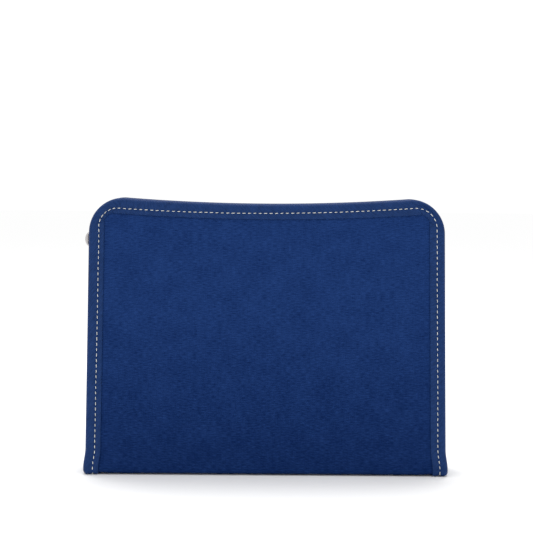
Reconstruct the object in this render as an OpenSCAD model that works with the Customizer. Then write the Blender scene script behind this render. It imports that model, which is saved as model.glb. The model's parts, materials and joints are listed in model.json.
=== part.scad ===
// Travel document organizer: two stiffened canvas covers fold up from a flat spine, a folded
// binding runs round every open edge, and a coil zip joins the covers down both sides and over
// the top. It stands closed on its spine, which is also its base. Millimetres, +Z up, width along
// X, front cover at -Y, origin at the middle of the underside.

/* [Covers] */
// Width across the covers at the base
base_width = 235; // [210:1:260]
// Width across the covers just under the top corners
top_width = 231; // [206:1:256]
// Height of the closed organizer
height = 180; // [165:1:205]
// Depth across the covers at the two base folds
base_depth = 34; // [32:1:44]
// Depth across the covers at the top
top_depth = 16; // [15.5:0.5:20]
// Radius of the two top corners
corner_radius = 22.5; // [18:0.5:30]
// How far the middle of the top edge dips below its ends
top_dip = 3.5; // [0:0.25:5]

/* [Layers] */
// Thickness of the coated canvas
canvas = 1.1; // [0.8:0.1:1.2]
// Thickness of the stiffener boards
board = 1.5; // [1:0.1:1.6]
// Thickness of the lining fabric
lining = 0.6; // [0.4:0.1:0.8]
// Thickness of one layer of the binding
binding_wall = 0.85; // [0.6:0.05:0.9]
// Width of the binding on each face
binding_width = 10; // [8:0.5:12]
// Thickness of the pocket fabric
pocket_fabric = 0.5; // [0.4:0.05:0.55]

/* [Zip] */
// How far the coil lies inside the edges of the bindings
coil_recess = 3; // [2.8:0.1:3.4]
// Width of one row of the coil
row_width = 2.6; // [2.2:0.1:2.7]
// Thickness of the coil
coil_thickness = 1.4; // [1.2:0.1:1.4]
// Thickness of the zip tape
tape = 0.6; // [0.4:0.1:0.6]
// Half the gap between the rows on the stretch that is unzipped
row_parting = 1.15; // [1.1:0.05:1.2]
// Height of the middle of the slider above the surface
slider_height = 152.5; // [120:0.5:152.5]
// How far the crown of the slider stands out past the bindings
crown_proud = 3.3; // [2.6:0.1:3.6]
// Length of the puller below its pivot
puller_length = 24; // [18:1:28]

/* [Pockets] */
// Height up the cover of the coin pocket's zip
coin_zip_height = 52; // [48:1:60]
// Height up the cover of the lowest card pocket's mouth
card_mouth = 58; // [50:1:64]
// Step from one card pocket's mouth to the next
card_step = 14; // [10:1:16]
// Inner radius of the pen loop
pen_radius = 5; // [4:0.25:5.5]

/* [Hidden] */
$fn = 48;

ease = 0.1;                      // gap left between neighbouring layers
hair = 0.05;                     // gap between the binding and what it wraps
fold_height = 1;                 // the fold axes lie this far above the surface
lean = asin((base_depth - top_depth) / 2 / height);
cover_length = (height - fold_height - binding_wall * sin(lean)) / cos(lean);
straight_side = cover_length - corner_radius;
edge_slope = (base_width - top_width) / 2 / straight_side;

// layers of a cover, as distances inwards from its outer face
board_face = canvas + ease;
lining_face = board_face + board + ease;
cover_thickness = lining_face + lining;
lip_face = cover_thickness + hair;           // where the inner lip of the binding starts
lip_back = lip_face + binding_wall;
edge_inset = binding_wall + ease;            // the canvas ends inside the wrapped binding
inner_corner = 8;                            // corner radius of the binding's inner edge
cover_start = 4;                             // the bound cover starts this far above its fold
canvas_start = 0.6;                          // the outer canvas starts nearer the fold
board_inset = 12;
board_start = 7;

// main zip
tape_inset = coil_recess + coil_thickness + hair;
tape_start = 5.5;
tape_edge = 1.2;                             // the tape reaches under the coil
row_touch = hair;                            // half the gap between the closed rows
row_room = 6.5;                              // half the slider's stretch of coil
axis_slope = edge_slope * cos(lean);         // the left edge's lean along the middle plane
edge_tilt = atan(axis_slope);
middle_drop = base_depth / 2 * tan(lean) - fold_height;
left_stretch = 25;                           // how far in from the left the parting reaches

// slider
plate = 0.9;
slider_length = 11;
slider_half = 4.55;
channel_half = 3.95;
flange_depth = 1.35;
plate_face = coil_recess - 0.15 - plate;     // outer face of the slider's outer plate
lower_plate = tape_inset + tape + 0.2;       // outer face of its inner plate
slider_shoulder = 3.4;                       // its full width runs this far each way
slider_taper = 1.6;
divider_half = 0.9;                          // the divider narrows from here to its tip
divider_tip = 0.3;
flange_length = 6.8;
crown_length = 10.4;
crown_half = 1.1;
crown_wall = 2.2;
crown_foot = 1.2;
crown_round = 2.6;
pawl = [0.8, 0.9, 1.4];
pawl_inset = 2.1;                            // from the top end of the crown
pivot_depth = 0.6;                           // the puller's pivot, inside the binding's edge
pivot_drop = 1;                              // and below the middle of the slider
bar_radius = 0.65;
arm_width = 1.3;
puller_half = 2.8;
puller_window = 7.2;
puller_thickness = 1.1;
puller_hole = 2.4;                           // half the puller's width over its hole's radius

// coin pocket
panel_face = cover_thickness + 0.2;
panel_back = panel_face + pocket_fabric;
coin_half_width = 100;
coin_slot = 3;                               // half the slot that the coin zip closes
coin_row = 1.3;
coin_parting = 0.3;
coin_coil = 1;
coin_park = 84;                              // where the coin slider is parked
coin_tape_face = panel_back + ease;
coin_tape = 0.4;
coin_coil_face = panel_back + 0.15;
coin_coil_back = coin_coil_face + coin_coil;
coin_slider_half = 2.7;
coin_slider_length = 8;
coin_plate_face = coin_coil_back + 0.15;
coin_plate_back = coin_plate_face + 0.7;
coin_crown_back = coin_plate_back + 2.2;
coin_pivot = coin_plate_back + 0.95;
coin_bar = 0.45;
coin_puller_length = 12;
coin_puller_half = 2;
coin_puller_thickness = 0.8;
coin_window = 5.6;
coin_arm = 0.9;
coin_band = 12;                              // the panel ends this far above its zip
coin_tape_middle = 5.2;                      // each strip of tape, from the middle of the zip
coin_tape_width = 6.6;
coin_seam = 4;                               // the slot ends this far inside the tape
coin_coil_inset = 5;
coin_under = 0.35;
coin_crown = [6, 1.6];
coin_crown_wall = 0.9;

// pockets, as heights up the cover and places across it
pocket_start = 8;
pocket_half_width = 103;
pocket_gap = 2;
slip_mouth = 142;
ticket_mouth = 148;
passport_mouth = 112;
passport_edge = 6;
card_edge = -5;
card_layer = 0.75;                           // depth from one card pocket to the next

// spine
base_half = base_width / 2;
base_half_depth = base_depth / 2;
fold_room = 0.5;                             // the spine's canvas stops this short of the folds
board_half_depth = base_half_depth - 1.8;    // clear of the canvas that folds up beside it
board_end = 2;
end_start = base_half - 8.7;                 // the binding wraps the ends from here outwards
end_edge = base_half + 1.3;
end_skin = 1;                                // canvas inside the wrapped ends
end_lap = 1;
base_top = canvas + 2 * ease + board + lining;
end_lip = base_top + hair;
end_top = end_lip + binding_wall;
tab_half = 8;
tab_thickness = 0.7;
tab_inset = 0.5;
tab_short = 1.5;
loop_half = 22;
loop_foot = 8;
loop_foot_thickness = 0.5;
loop_wall = 0.6;

function half_width(up) = base_width / 2 - edge_slope * min(up, straight_side);

// The cover's outline pulled in by inset, with the given top corner radius, from the height start.
function corner_x(inset, radius) = top_width / 2 - inset - radius;
function right_corner(inset, radius) = [
  for (turn = [0 : 9 : 90])
    [corner_x(inset, radius) + radius * cos(turn),
     cover_length - inset - radius + radius * sin(turn)]
];
function top_edge(inset, radius) = [
  for (part = [0.875 : -0.125 : -0.875])
    [part * corner_x(inset, radius), cover_length - inset - top_dip * (1 - part * part)]
];
function outline(inset, radius, start) = concat(
  [[half_width(start) - inset, start]],
  right_corner(inset, radius),
  top_edge(inset, radius),
  [for (point = [10 : -1 : 0])
    [-right_corner(inset, radius)[point][0], right_corner(inset, radius)[point][1]]],
  [[inset - half_width(start), start]]
);

module cover_plate(inset, start, radius = -1)
  polygon(outline(inset, radius < 0 ? corner_radius - inset : radius, start));

module cover_ring(inset, width, start, inner_radius = -1)
  difference() {
    cover_plate(inset, start);
    cover_plate(inset + width, start - 1, inner_radius);
  }

// Children drawn flat, as x and height up the cover, become a layer from depth to depth + thick
// behind the front cover's outer face.
module layer(depth, thick)
  rotate([90, 0, 0]) translate([0, 0, -depth - thick]) linear_extrude(thick) children();

module on_front()
  translate([0, -base_depth / 2, fold_height]) rotate([-lean, 0, 0]) children();
module on_back() mirror([0, 1, 0]) on_front() children();

module strip(from_x, to_x, from_up, to_up)
  translate([from_x, from_up]) square([to_x - from_x, to_up - from_up]);

module block(low, high) translate(low) cube(high - low);

// Spine
module base_shell()
  color([0.06, 0.17, 0.37])
    union() {
      block([ease - end_start, fold_room - base_half_depth, 0],
            [end_start - ease, base_half_depth - fold_room, canvas]);
      for (side = [0, 1])
        mirror([side, 0, 0])
          block([end_start - end_lap, -board_half_depth, binding_wall + hair],
                [base_half, board_half_depth, binding_wall + hair + end_skin]);
    }

module base_board()
  color([0.62, 0.5, 0.36])
    block([board_end - end_start, -board_half_depth, canvas + ease],
          [end_start - board_end, board_half_depth, canvas + ease + board]);

module base_lining()
  color([0.1, 0.13, 0.2])
    block([-base_half, -board_half_depth, base_top - lining],
          [base_half, board_half_depth, base_top]);

module spine_binding(side)
  color([0.04, 0.12, 0.29])
    mirror([side < 0 ? 1 : 0, 0, 0])
      union() {
        block([end_start, -base_half_depth, 0], [end_edge, base_half_depth, binding_wall]);
        block([end_start, -board_half_depth, end_lip], [end_edge, board_half_depth, end_top]);
        block([end_edge - binding_wall, -board_half_depth, 0],
              [end_edge, board_half_depth, end_top]);
      }

module zip_end_tab(side)
  color([0.03, 0.07, 0.16])
    mirror([side < 0 ? 1 : 0, 0, 0])
      block([end_start + tab_inset, -tab_half, end_top + hair],
            [end_edge - tab_short, tab_half, end_top + hair + tab_thickness]);

module pen_loop()
  color([0.05, 0.06, 0.09])
    translate([0, 0, base_top + hair])
      difference() {
        union() {
          block([-loop_half, -loop_foot, 0], [loop_half, loop_foot, loop_foot_thickness]);
          translate([-loop_half, 0, pen_radius + loop_wall]) rotate([0, 90, 0])
            cylinder(r = pen_radius + loop_wall, h = 2 * loop_half);
        }
        translate([-loop_half - 1, 0, pen_radius + loop_wall]) rotate([0, 90, 0])
          cylinder(r = pen_radius, h = 2 * loop_half + 2);
      }

// What both covers have
module shell()
  color([0.06, 0.17, 0.37])
    layer(0, canvas) cover_plate(edge_inset, canvas_start);

module stiffener()
  color([0.62, 0.5, 0.36])
    layer(board_face, board) cover_plate(board_inset, board_start);

module cover_lining()
  color([0.1, 0.13, 0.2])
    layer(lining_face, lining) cover_plate(edge_inset, cover_start);

module binding()
  color([0.04, 0.12, 0.29])
    difference() {
      layer(-binding_wall, lip_back + binding_wall)
        cover_ring(0, binding_width, cover_start, inner_corner);
      layer(-hair, lip_face + hair) cover_plate(binding_wall, cover_start - 1);
    }

// Everything between the middle plane and the line that the points give, as depth from the
// middle plane and height, over the stretch of the left side.
module left_prism(points)
  translate([-base_half - 1, 0, 0]) rotate([90, 0, 90])
    linear_extrude(left_stretch + 1) polygon(points);

// The front half of the coil's band, with the left side parted below the slider
module row_band(inner, outer) {
  closed_from = slider_height + row_room;
  opened_to = slider_height - row_room;
  difference() {
    block([-base_half, -outer, end_top], [base_half, -inner, height]);
    block([-base_half - 1, -base_depth, 0], [left_stretch - 1 - base_half, 0, closed_from]);
  }
  left_prism([
    [-inner, closed_from], [-outer, closed_from],
    [-outer - row_parting + row_touch, opened_to], [-outer - row_parting + row_touch, end_top],
    [-inner - row_parting + row_touch, end_top], [-inner - row_parting + row_touch, opened_to]
  ]);
}

module zip_tape()
  color([0.03, 0.07, 0.16])
    intersection() {
      on_front() layer(lip_back + hair, base_half_depth)
        cover_ring(tape_inset, tape, tape_start);
      row_band(tape_edge, base_half_depth);
    }

module zip_coil()
  color([0.05, 0.1, 0.22])
    intersection() {
      on_front() layer(lip_back, base_half_depth)
        cover_ring(coil_recess, coil_thickness, tape_start);
      row_band(row_touch, row_width + row_touch);
    }

// Front cover
module front_shell() on_front() shell();
module front_board() on_front() stiffener();
module front_lining() on_front() cover_lining();
module front_binding() on_front() binding();
module front_zip_tape() zip_tape();

module front_zip_coil()
  difference() {
    zip_coil();
    block([-base_half - 1, -base_depth, slider_height - row_room],
          [left_stretch - 1 - base_half, 0, slider_height + row_room]);
  }

module pocket(depth, from_x, to_x, from_up, to_up)
  color([0.12, 0.15, 0.22])
    layer(depth, pocket_fabric) strip(from_x, to_x, from_up, to_up);

module slip_pocket()
  on_front() pocket(panel_face, -pocket_half_width, pocket_half_width,
                    coin_zip_height + coin_band + pocket_gap, slip_mouth);

module coin_pocket_panel()
  color([0.12, 0.15, 0.22])
    on_front() layer(panel_face, pocket_fabric)
      difference() {
        strip(-pocket_half_width, pocket_half_width, pocket_start, coin_zip_height + coin_band);
        strip(-coin_half_width + coin_seam, coin_half_width - coin_seam,
              coin_zip_height - coin_slot, coin_zip_height + coin_slot);
      }

module coin_zip_tape()
  color([0.03, 0.07, 0.16])
    on_front() layer(coin_tape_face, coin_tape)
      for (side = [-1, 1])
        translate([0, coin_zip_height + side * coin_tape_middle])
          square([2 * coin_half_width, coin_tape_width], center = true);

module coin_zip_coil()
  color([0.05, 0.1, 0.22])
    on_front() layer(coin_coil_face, coin_coil)
      for (side = [-1, 1])
        translate([0, coin_zip_height + side * (coin_parting + coin_row / 2)])
          square([2 * (coin_half_width - coin_coil_inset), coin_row], center = true);

// Back cover
module back_shell() on_back() shell();
module back_board() on_back() stiffener();
module back_lining() on_back() cover_lining();
module back_binding() on_back() binding();
module back_zip_tape() mirror([0, 1, 0]) zip_tape();
module back_zip_coil() mirror([0, 1, 0]) zip_coil();

module ticket_pocket()
  on_back() pocket(cover_thickness + ease, -pocket_half_width, pocket_half_width,
                   pocket_start, ticket_mouth);

module passport_pocket()
  on_back() pocket(cover_thickness + 4 * ease + pocket_fabric, passport_edge,
                   pocket_half_width - 3, pocket_start, passport_mouth);

module card_pocket(tier)
  on_back() pocket(cover_thickness + 3 * ease + pocket_fabric + (4 - tier) * card_layer,
                   3 - pocket_half_width, card_edge, pocket_start, card_mouth + (tier - 1) * card_step);

// Zip slider, drawn with x inwards from the edge of the bindings, y across and z along the zip
module at_slider()
  translate([axis_slope * (slider_height + middle_drop) - base_half, 0, slider_height])
    rotate([0, edge_tilt, 0]) children();

module along_zip(depth, thick)
  translate([depth, 0, 0]) rotate([90, 0, 90]) linear_extrude(thick) children();

module slider_outline()
  union() {
    square([2 * slider_half, 2 * slider_shoulder + 0.2], center = true);
    for (side = [-1, 1])
      polygon([[-slider_half, side * slider_shoulder], [slider_half, side * slider_shoulder],
               [slider_half - slider_taper, side * slider_length / 2],
               [slider_taper - slider_half, side * slider_length / 2]]);
  }

module slider_body()
  color([0.66, 0.66, 0.68])
    at_slider() union() {
      along_zip(plate_face, plate) slider_outline();
      along_zip(lower_plate, plate) slider_outline();
      along_zip(plate_face + plate / 2, lower_plate - plate_face)
        polygon([[-divider_half, 0.5 - slider_length / 2], [divider_half, 0.5 - slider_length / 2],
                 [divider_tip, -1], [-divider_tip, -1]]);
      for (side = [-1, 1])
        translate([plate_face + plate + flange_depth / 2 - 0.1,
                   side * (slider_half + channel_half) / 2, 0])
          cube([flange_depth + 0.2, slider_half - channel_half, flange_length], center = true);
    }

module slider_crown()
  color([0.74, 0.74, 0.76])
    at_slider() rotate([90, 0, 0])
      translate([0, 0, -crown_half]) linear_extrude(2 * crown_half)
        difference() {
          union() {
            translate([-crown_proud, crown_round - crown_length / 2])
              square([crown_proud + plate_face, crown_length - 2 * crown_round]);
            translate([crown_round - crown_proud, -crown_length / 2])
              square([crown_proud + plate_face - crown_round, crown_length]);
            for (side = [-1, 1])
              translate([crown_round - crown_proud, side * (crown_length / 2 - crown_round)])
                circle(crown_round);
          }
          translate([crown_wall - crown_proud, crown_foot - crown_length / 2])
            square([plate_face + crown_proud, crown_length - 2 * crown_foot]);
        }

module slider_lock_pawl()
  color([0.6, 0.6, 0.62])
    at_slider() translate([plate_face - 0.45, 0, crown_length / 2 - pawl_inset])
      cube(pawl, center = true);

module puller_plate(window, length, half, arm, thick)
  difference() {
    union() {
      translate([-half, 2 * thick - length]) square([2 * half, length - 2 * thick]);
      translate([0, half - length]) circle(half);
    }
    translate([arm - half, -window]) square([2 * (half - arm), window + 1]);
    translate([0, half - length]) circle(half / puller_hole);
  }

module puller()
  color([0.72, 0.72, 0.74])
    at_slider() translate([pivot_depth, 0, -pivot_drop]) union() {
      rotate([90, 0, 0]) translate([0, 0, -puller_half])
        cylinder(r = bar_radius, h = 2 * puller_half);
      along_zip(-puller_thickness / 2, puller_thickness)
        puller_plate(puller_window, puller_length, puller_half, arm_width, puller_thickness / 2);
      along_zip(-puller_thickness / 2, puller_thickness)
        for (side = [-1, 1])
          translate([side * (puller_half - arm_width / 2), -0.6])
            square([arm_width, 1.3], center = true);
    }

// Coin pocket's slider, drawn with x along its zip, y up the cover and z out from the lining
module at_coin_slider()
  on_front() rotate([90, 0, 0]) translate([coin_park, coin_zip_height, 0]) mirror([0, 0, 1])
    children();

module coin_plate(depth, thick)
  translate([0, 0, depth]) linear_extrude(thick)
    square([coin_slider_length, 2 * coin_slider_half], center = true);

module coin_slider_body()
  color([0.66, 0.66, 0.68])
    at_coin_slider() union() {
      coin_plate(coin_plate_face, coin_plate_back - coin_plate_face);
      coin_plate(panel_face, coin_under);
      translate([-3.4, -0.18, panel_face + 0.2])
        cube([2.4, 0.36, coin_plate_face - panel_face]);
    }

module coin_slider_crown()
  color([0.74, 0.74, 0.76])
    at_coin_slider()
      difference() {
        translate([-coin_crown[0] / 2, -coin_crown[1] / 2, coin_plate_back])
          cube([coin_crown[0], coin_crown[1], coin_crown_back - coin_plate_back]);
        translate([coin_crown_wall - coin_crown[0] / 2, -1, coin_plate_back - 1])
          cube([coin_crown[0] - 2 * coin_crown_wall, 2, coin_crown_back - coin_plate_back + 0.3]);
      }

module coin_puller()
  color([0.72, 0.72, 0.74])
    at_coin_slider() translate([-1.2, 0, coin_pivot]) union() {
      rotate([90, 0, 0]) translate([0, 0, -coin_puller_half])
        cylinder(r = coin_bar, h = 2 * coin_puller_half);
      translate([0, 0, -coin_puller_thickness / 2]) linear_extrude(coin_puller_thickness)
        difference() {
          union() {
            translate([coin_puller_half - coin_puller_length, -coin_puller_half])
              square([coin_puller_length - coin_puller_half, 2 * coin_puller_half]);
            translate([coin_puller_half - coin_puller_length, 0]) circle(coin_puller_half);
          }
          translate([-coin_window, coin_arm - coin_puller_half])
            square([coin_window + 3, 2 * (coin_puller_half - coin_arm)]);
        }
    }

base_shell();
base_board();
base_lining();
spine_binding(-1);  // spine_binding_left
spine_binding(1);  // spine_binding_right
zip_end_tab(-1);  // zip_end_tab_left
zip_end_tab(1);  // zip_end_tab_right
pen_loop();
front_shell();
front_board();
front_lining();
front_binding();
front_zip_tape();
front_zip_coil();
slip_pocket();
coin_pocket_panel();
coin_zip_tape();
coin_zip_coil();
back_shell();
back_board();
back_lining();
back_binding();
back_zip_tape();
back_zip_coil();
ticket_pocket();
passport_pocket();
card_pocket(1);  // card_pocket_1
card_pocket(2);  // card_pocket_2
card_pocket(3);  // card_pocket_3
card_pocket(4);  // card_pocket_4
slider_body();
slider_crown();
slider_lock_pawl();
puller();
coin_slider_body();
coin_slider_crown();
coin_puller();
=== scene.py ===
"""Travel document organizer: canvas covers, folded binding, topstitching, coil zip and pockets."""
import json
import math

import bpy
from bpy.props import FloatProperty, FloatVectorProperty, PointerProperty
from mathutils import Matrix, Vector, noise


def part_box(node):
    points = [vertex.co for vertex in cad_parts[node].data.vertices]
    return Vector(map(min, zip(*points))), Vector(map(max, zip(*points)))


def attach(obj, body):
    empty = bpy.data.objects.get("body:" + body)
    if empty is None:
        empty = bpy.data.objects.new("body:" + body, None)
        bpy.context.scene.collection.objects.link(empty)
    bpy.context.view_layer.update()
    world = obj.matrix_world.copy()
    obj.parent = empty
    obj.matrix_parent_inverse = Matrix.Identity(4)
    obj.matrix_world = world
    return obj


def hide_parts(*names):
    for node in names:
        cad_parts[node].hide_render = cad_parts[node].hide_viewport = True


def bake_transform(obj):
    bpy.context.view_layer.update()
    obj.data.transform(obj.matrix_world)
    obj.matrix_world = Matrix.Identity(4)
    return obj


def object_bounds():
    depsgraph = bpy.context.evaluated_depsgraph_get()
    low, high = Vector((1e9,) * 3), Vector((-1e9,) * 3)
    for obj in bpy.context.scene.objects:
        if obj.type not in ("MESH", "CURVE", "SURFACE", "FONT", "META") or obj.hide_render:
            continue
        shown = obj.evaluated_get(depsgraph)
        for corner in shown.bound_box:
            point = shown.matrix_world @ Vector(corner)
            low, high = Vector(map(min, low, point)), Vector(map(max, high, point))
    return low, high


bl_info = {
    "name": "Travel Document Organizer",
    "version": (1, 0, 0),
    "blender": (4, 5, 0),
    "location": "3D View > Sidebar > Organizer",
    "description": "Makes a zipped canvas travel document organizer around its packed frame",
    "category": "Object",
}

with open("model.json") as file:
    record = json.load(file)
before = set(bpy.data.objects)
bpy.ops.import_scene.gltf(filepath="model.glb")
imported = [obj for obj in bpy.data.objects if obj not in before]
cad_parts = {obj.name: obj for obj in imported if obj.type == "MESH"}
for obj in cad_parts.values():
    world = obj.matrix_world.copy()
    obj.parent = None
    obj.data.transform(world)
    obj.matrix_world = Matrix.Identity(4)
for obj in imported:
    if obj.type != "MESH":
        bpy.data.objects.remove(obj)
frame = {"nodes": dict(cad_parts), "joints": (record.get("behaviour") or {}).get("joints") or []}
CAD_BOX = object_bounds()
MM = 0.001
JOINTS = {joint["name"]: joint for joint in frame["joints"]}

# The covers lean in from folds at the two long edges of the spine
FOLD_Y, FOLD_Z = JOINTS["front_fold"]["pos_m"][1:]
HEIGHT = CAD_BOX[1].z
TOP_DEPTH = 16 * MM
LEAN = math.asin((-2 * FOLD_Y - TOP_DEPTH) / 2 / HEIGHT)
UP = Vector((0, math.sin(LEAN), math.cos(LEAN)))
OUT = Vector((0, -math.cos(LEAN), math.sin(LEAN)))
THICK = 3.4 * MM
LIP = 0.85 * MM
LENGTH = (HEIGHT - FOLD_Z - LIP * math.sin(LEAN)) / math.cos(LEAN)
BASE_HALF = 117.5 * MM
TOP_HALF = 115.5 * MM
CORNER = 22.5 * MM
INNER_CORNER = 6.5 * MM
BINDING = 10 * MM
DIP = 3.5 * MM
STITCH_IN = 6 * MM
SLOPE = (BASE_HALF - TOP_HALF) / (LENGTH - CORNER)
FLARE = 1.25 * MM
FLARE_FOOT, FLARE_TOP = 4 * MM, 16 * MM

# The canvas and the lining end inside the binding
CLOTH_IN = 4.5 * MM
LINING_DEPTH = 3 * MM
LINING = 0.4 * MM
SPINE_TOP = 4.42 * MM

# The cloth turns round the fold on a small bend
BEND = 2.5 * MM
TIGHT = 0.3 * MM
TURN = math.pi / 2 + LEAN
HALF_TURN = math.tan(TURN / 2)
TANGENT = BEND * HALF_TURN
BEND_START = TANGENT - BEND * TURN
MIDDLE = BEND_START + FOLD_Y + TANGENT
EASE = 10 * MM

# The zip lies inside the edges of the bindings
COIL_IN = 3.7 * MM
TAPE_IN = 4.75 * MM
TAPE_START = 5.5 * MM
TAPE = 0.5 * MM
ROW = 2.6 * MM
PARTING = 1.1 * MM
SLIDER_Z = sum(corner.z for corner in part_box("slider_body")) / 2
SLIDER_ROOM = 6.5 * MM


def mix(a, b, t):
    return a + (b - a) * t


def smooth(t):
    t = min(max(t, 0), 1)
    return t * t * (3 - 2 * t)


def bell(away, width):
    """1 in the middle, and near 0 from twice the width away."""
    return math.exp(-((away / width) ** 2))


def ripple(x, y, size, seed=0.0):
    """Soft noise from about -1 to 1, with bumps of that size."""
    return noise.noise(Vector((x / size, y / size, seed)))


def cover_point(x, up, out):
    return Vector((x, FOLD_Y, FOLD_Z)) + UP * up + OUT * out


def up_cover(z, depth):
    """How far up the cover a point lies that is at height z and that deep behind its face."""
    return (z - FOLD_Z + depth * math.sin(LEAN)) / math.cos(LEAN)


def wrap(x, up, out):
    """A point of the cloth that runs from under the spine, round the fold and up the front cover."""
    radius = max(BEND + out, TIGHT)
    reach = HALF_TURN * (radius - out)
    shift = reach - TANGENT
    if up >= TANGENT:
        return cover_point(x, up + shift * (1 - smooth((up - TANGENT) / EASE)), out)
    if up > BEND_START:
        angle = math.pi - LEAN + (TANGENT - up) / BEND
        centre = cover_point(x, reach, out) - OUT * radius
        return centre + Vector((0, math.cos(angle), math.sin(angle))) * radius
    along = BEND_START - up
    back = TANGENT + along + shift * (1 - smooth(along / EASE))
    return Vector((x, min(FOLD_Y + back, 0), FOLD_Z - out))


def corner_radius(inset):
    return max(mix(CORNER, INNER_CORNER, inset / BINDING), 2 * MM)


def half_width(up):
    flared = 1 - smooth((up - FLARE_FOOT) / (FLARE_TOP - FLARE_FOOT))
    return BASE_HALF - SLOPE * max(up, 0) + FLARE * flared


def top_height(x, inset):
    """The height up the cover of its top edge, with its dip and rounded corners."""
    radius = corner_radius(inset)
    straight = TOP_HALF - inset - radius
    if abs(x) <= straight:
        return LENGTH - inset - DIP * (1 - (x / straight) ** 2)
    over = min(abs(x) - straight, radius)
    return LENGTH - inset - radius + math.sqrt(radius * radius - over * over)


def edge(path, inset, low):
    """x and height up the cover, along its edge. path is 0 to 1 on the left side, from low, then
    1 to 2 round the corner, 2 to 3 along the top, and on down the right side to 5."""
    if path > 2.5:
        x, up = edge(5 - path, inset, low)
        return -x, up
    radius = corner_radius(inset)
    side_top = LENGTH - inset - radius
    if path <= 1:
        up = mix(low, side_top, path)
        return inset - half_width(up), up
    straight = TOP_HALF - inset - radius
    if path <= 2:
        turn = math.pi / 2 * (path - 1)
        return -straight - radius * math.cos(turn), side_top + radius * math.sin(turn)
    x = mix(-straight, straight, path - 2)
    return x, top_height(x, inset)


def paces(inset, low, step, phase=0.0):
    """Places at equal steps along the edge, as values of path, and the whole length."""
    fine = [i * 5 / 4000 for i in range(4001)]
    points = [Vector(edge(path, inset, low)) for path in fine]
    reached, found, wanted = 0.0, [], phase * step
    for before, after, start, end in zip(fine, fine[1:], points, points[1:]):
        gap = (end - start).length
        while wanted <= reached + gap and gap > 0:
            found.append(mix(before, after, (wanted - reached) / gap))
            wanted += step
        reached += gap
    return found, reached


def active():
    return bpy.context.view_layer.objects.active


def deselect():
    if bpy.context.object and bpy.context.object.mode != "OBJECT":
        bpy.ops.object.mode_set(mode="OBJECT")
    bpy.ops.object.select_all(action="DESELECT")


def select(*objects):
    deselect()
    for piece in objects:
        piece.select_set(True)
    bpy.context.view_layer.objects.active = objects[0]


def edit_all():
    bpy.ops.object.mode_set(mode="EDIT")
    bpy.ops.mesh.select_all(action="SELECT")


def shade(piece, angle=40):
    select(piece)
    bpy.ops.object.shade_smooth_by_angle(angle=math.radians(angle))


def add_wall(piece, thick):
    """Give a sheet its thickness, inwards from its face."""
    select(piece)
    wall = piece.modifiers.new("wall", "SOLIDIFY")
    wall.thickness = thick
    wall.offset = -1
    bpy.ops.object.modifier_apply(modifier="wall")


def lay_cloth(name, columns, rows, place, thick=0.0, mirrored=False, closed=False):
    """A grid whose points place(across, along), from 0 to 1 each, gives with their cloth
    coordinates in metres. A closed one joins its first row to its last."""
    deselect()
    bpy.ops.mesh.primitive_grid_add(x_subdivisions=columns, y_subdivisions=rows, size=1)
    piece = active()
    piece.name = name
    side = -1 if mirrored else 1
    cloth = []
    for vertex in piece.data.vertices:
        point, across = place(vertex.co.x + 0.5, vertex.co.y + 0.5)
        vertex.co = Vector((point.x, side * point.y, point.z))
        cloth.append(across)
    layer = piece.data.uv_layers[0].data
    for loop in piece.data.loops:
        layer[loop.index].uv = cloth[loop.vertex_index]
    edit_all()
    if mirrored:
        bpy.ops.mesh.flip_normals()
    if closed:
        bpy.ops.mesh.remove_doubles(threshold=1e-6)
        bpy.ops.mesh.select_all(action="SELECT")
    bpy.ops.object.mode_set(mode="OBJECT")
    if thick:
        add_wall(piece, thick)
    shade(piece, 60)
    return piece


def finish_piece(piece, material, body, slot, *replaced):
    piece.data.materials.clear()
    piece.data.materials.append(material)
    if isinstance(body, str):
        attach(piece, body)
    else:
        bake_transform(piece)
    if replaced:
        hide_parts(*replaced)
    return piece


def fold_blend(side):
    """The spine, the front (1) or back (-1) cover, and where the bend between them starts and ends."""
    body = "front" if side > 0 else "back"
    start = (0, side * (FOLD_Y + 1.5 * MM), FOLD_Z)
    end = (0, side * FOLD_Y, FOLD_Z + 3.5 * MM)
    return "spine", body, start, end


SIDES = {"front": 1, "back": -1}


# Materials
def new_node(made, kind, inputs=None, **settings):
    """A shader node with its inputs set or linked, and its settings."""
    tree = made.node_tree
    added = tree.nodes.new("ShaderNode" + kind)
    for key, value in settings.items():
        setattr(added, key, value)
    for key, value in (inputs or {}).items():
        if isinstance(value, bpy.types.NodeSocket):
            tree.links.new(value, added.inputs[key])
        else:
            added.inputs[key].default_value = value
    return added


def new_material(name, colour, **sockets):
    """A Principled material. sockets are its values, such as Roughness=0.5."""
    made = bpy.data.materials.new(name)
    made.use_nodes = True
    made.diffuse_color = (*colour, 1)
    shader = made.node_tree.nodes["Principled BSDF"]
    shader.inputs["Base Color"].default_value = (*colour, 1)
    for key, value in sockets.items():
        shader.inputs[key.replace("_", " ")].default_value = value
    return made, shader


def tint(made, shader, colour, spread, factor, painted_glint=0.0):
    """The colour, darker and lighter by that share, as factor runs from 0 to 1. The last argument is a
    painted highlight: pale colour added on the raised threads in place of their glints."""
    ramp = new_node(made, "ValToRGB", {"Fac": factor})
    dark, light = ramp.color_ramp.elements
    dark.position, light.position = 0.3, 0.7
    # Painted highlight: pale colour added on the raised threads and a little taken off between them,
    # standing in for their glints
    dark.color = (*[max(c * (1 - spread) - painted_glint / 2, c / 4) for c in colour], 1)
    light.color = (*[c * (1 + spread) + painted_glint for c in colour], 1)
    made.node_tree.links.new(ramp.outputs["Color"], shader.inputs["Base Color"])
    return ramp


def relief(made, shader, height, depth):
    bump = new_node(made, "Bump", {"Height": height, "Distance": depth, "Strength": 1.0})
    made.node_tree.links.new(bump.outputs["Normal"], shader.inputs["Normal"])


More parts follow.
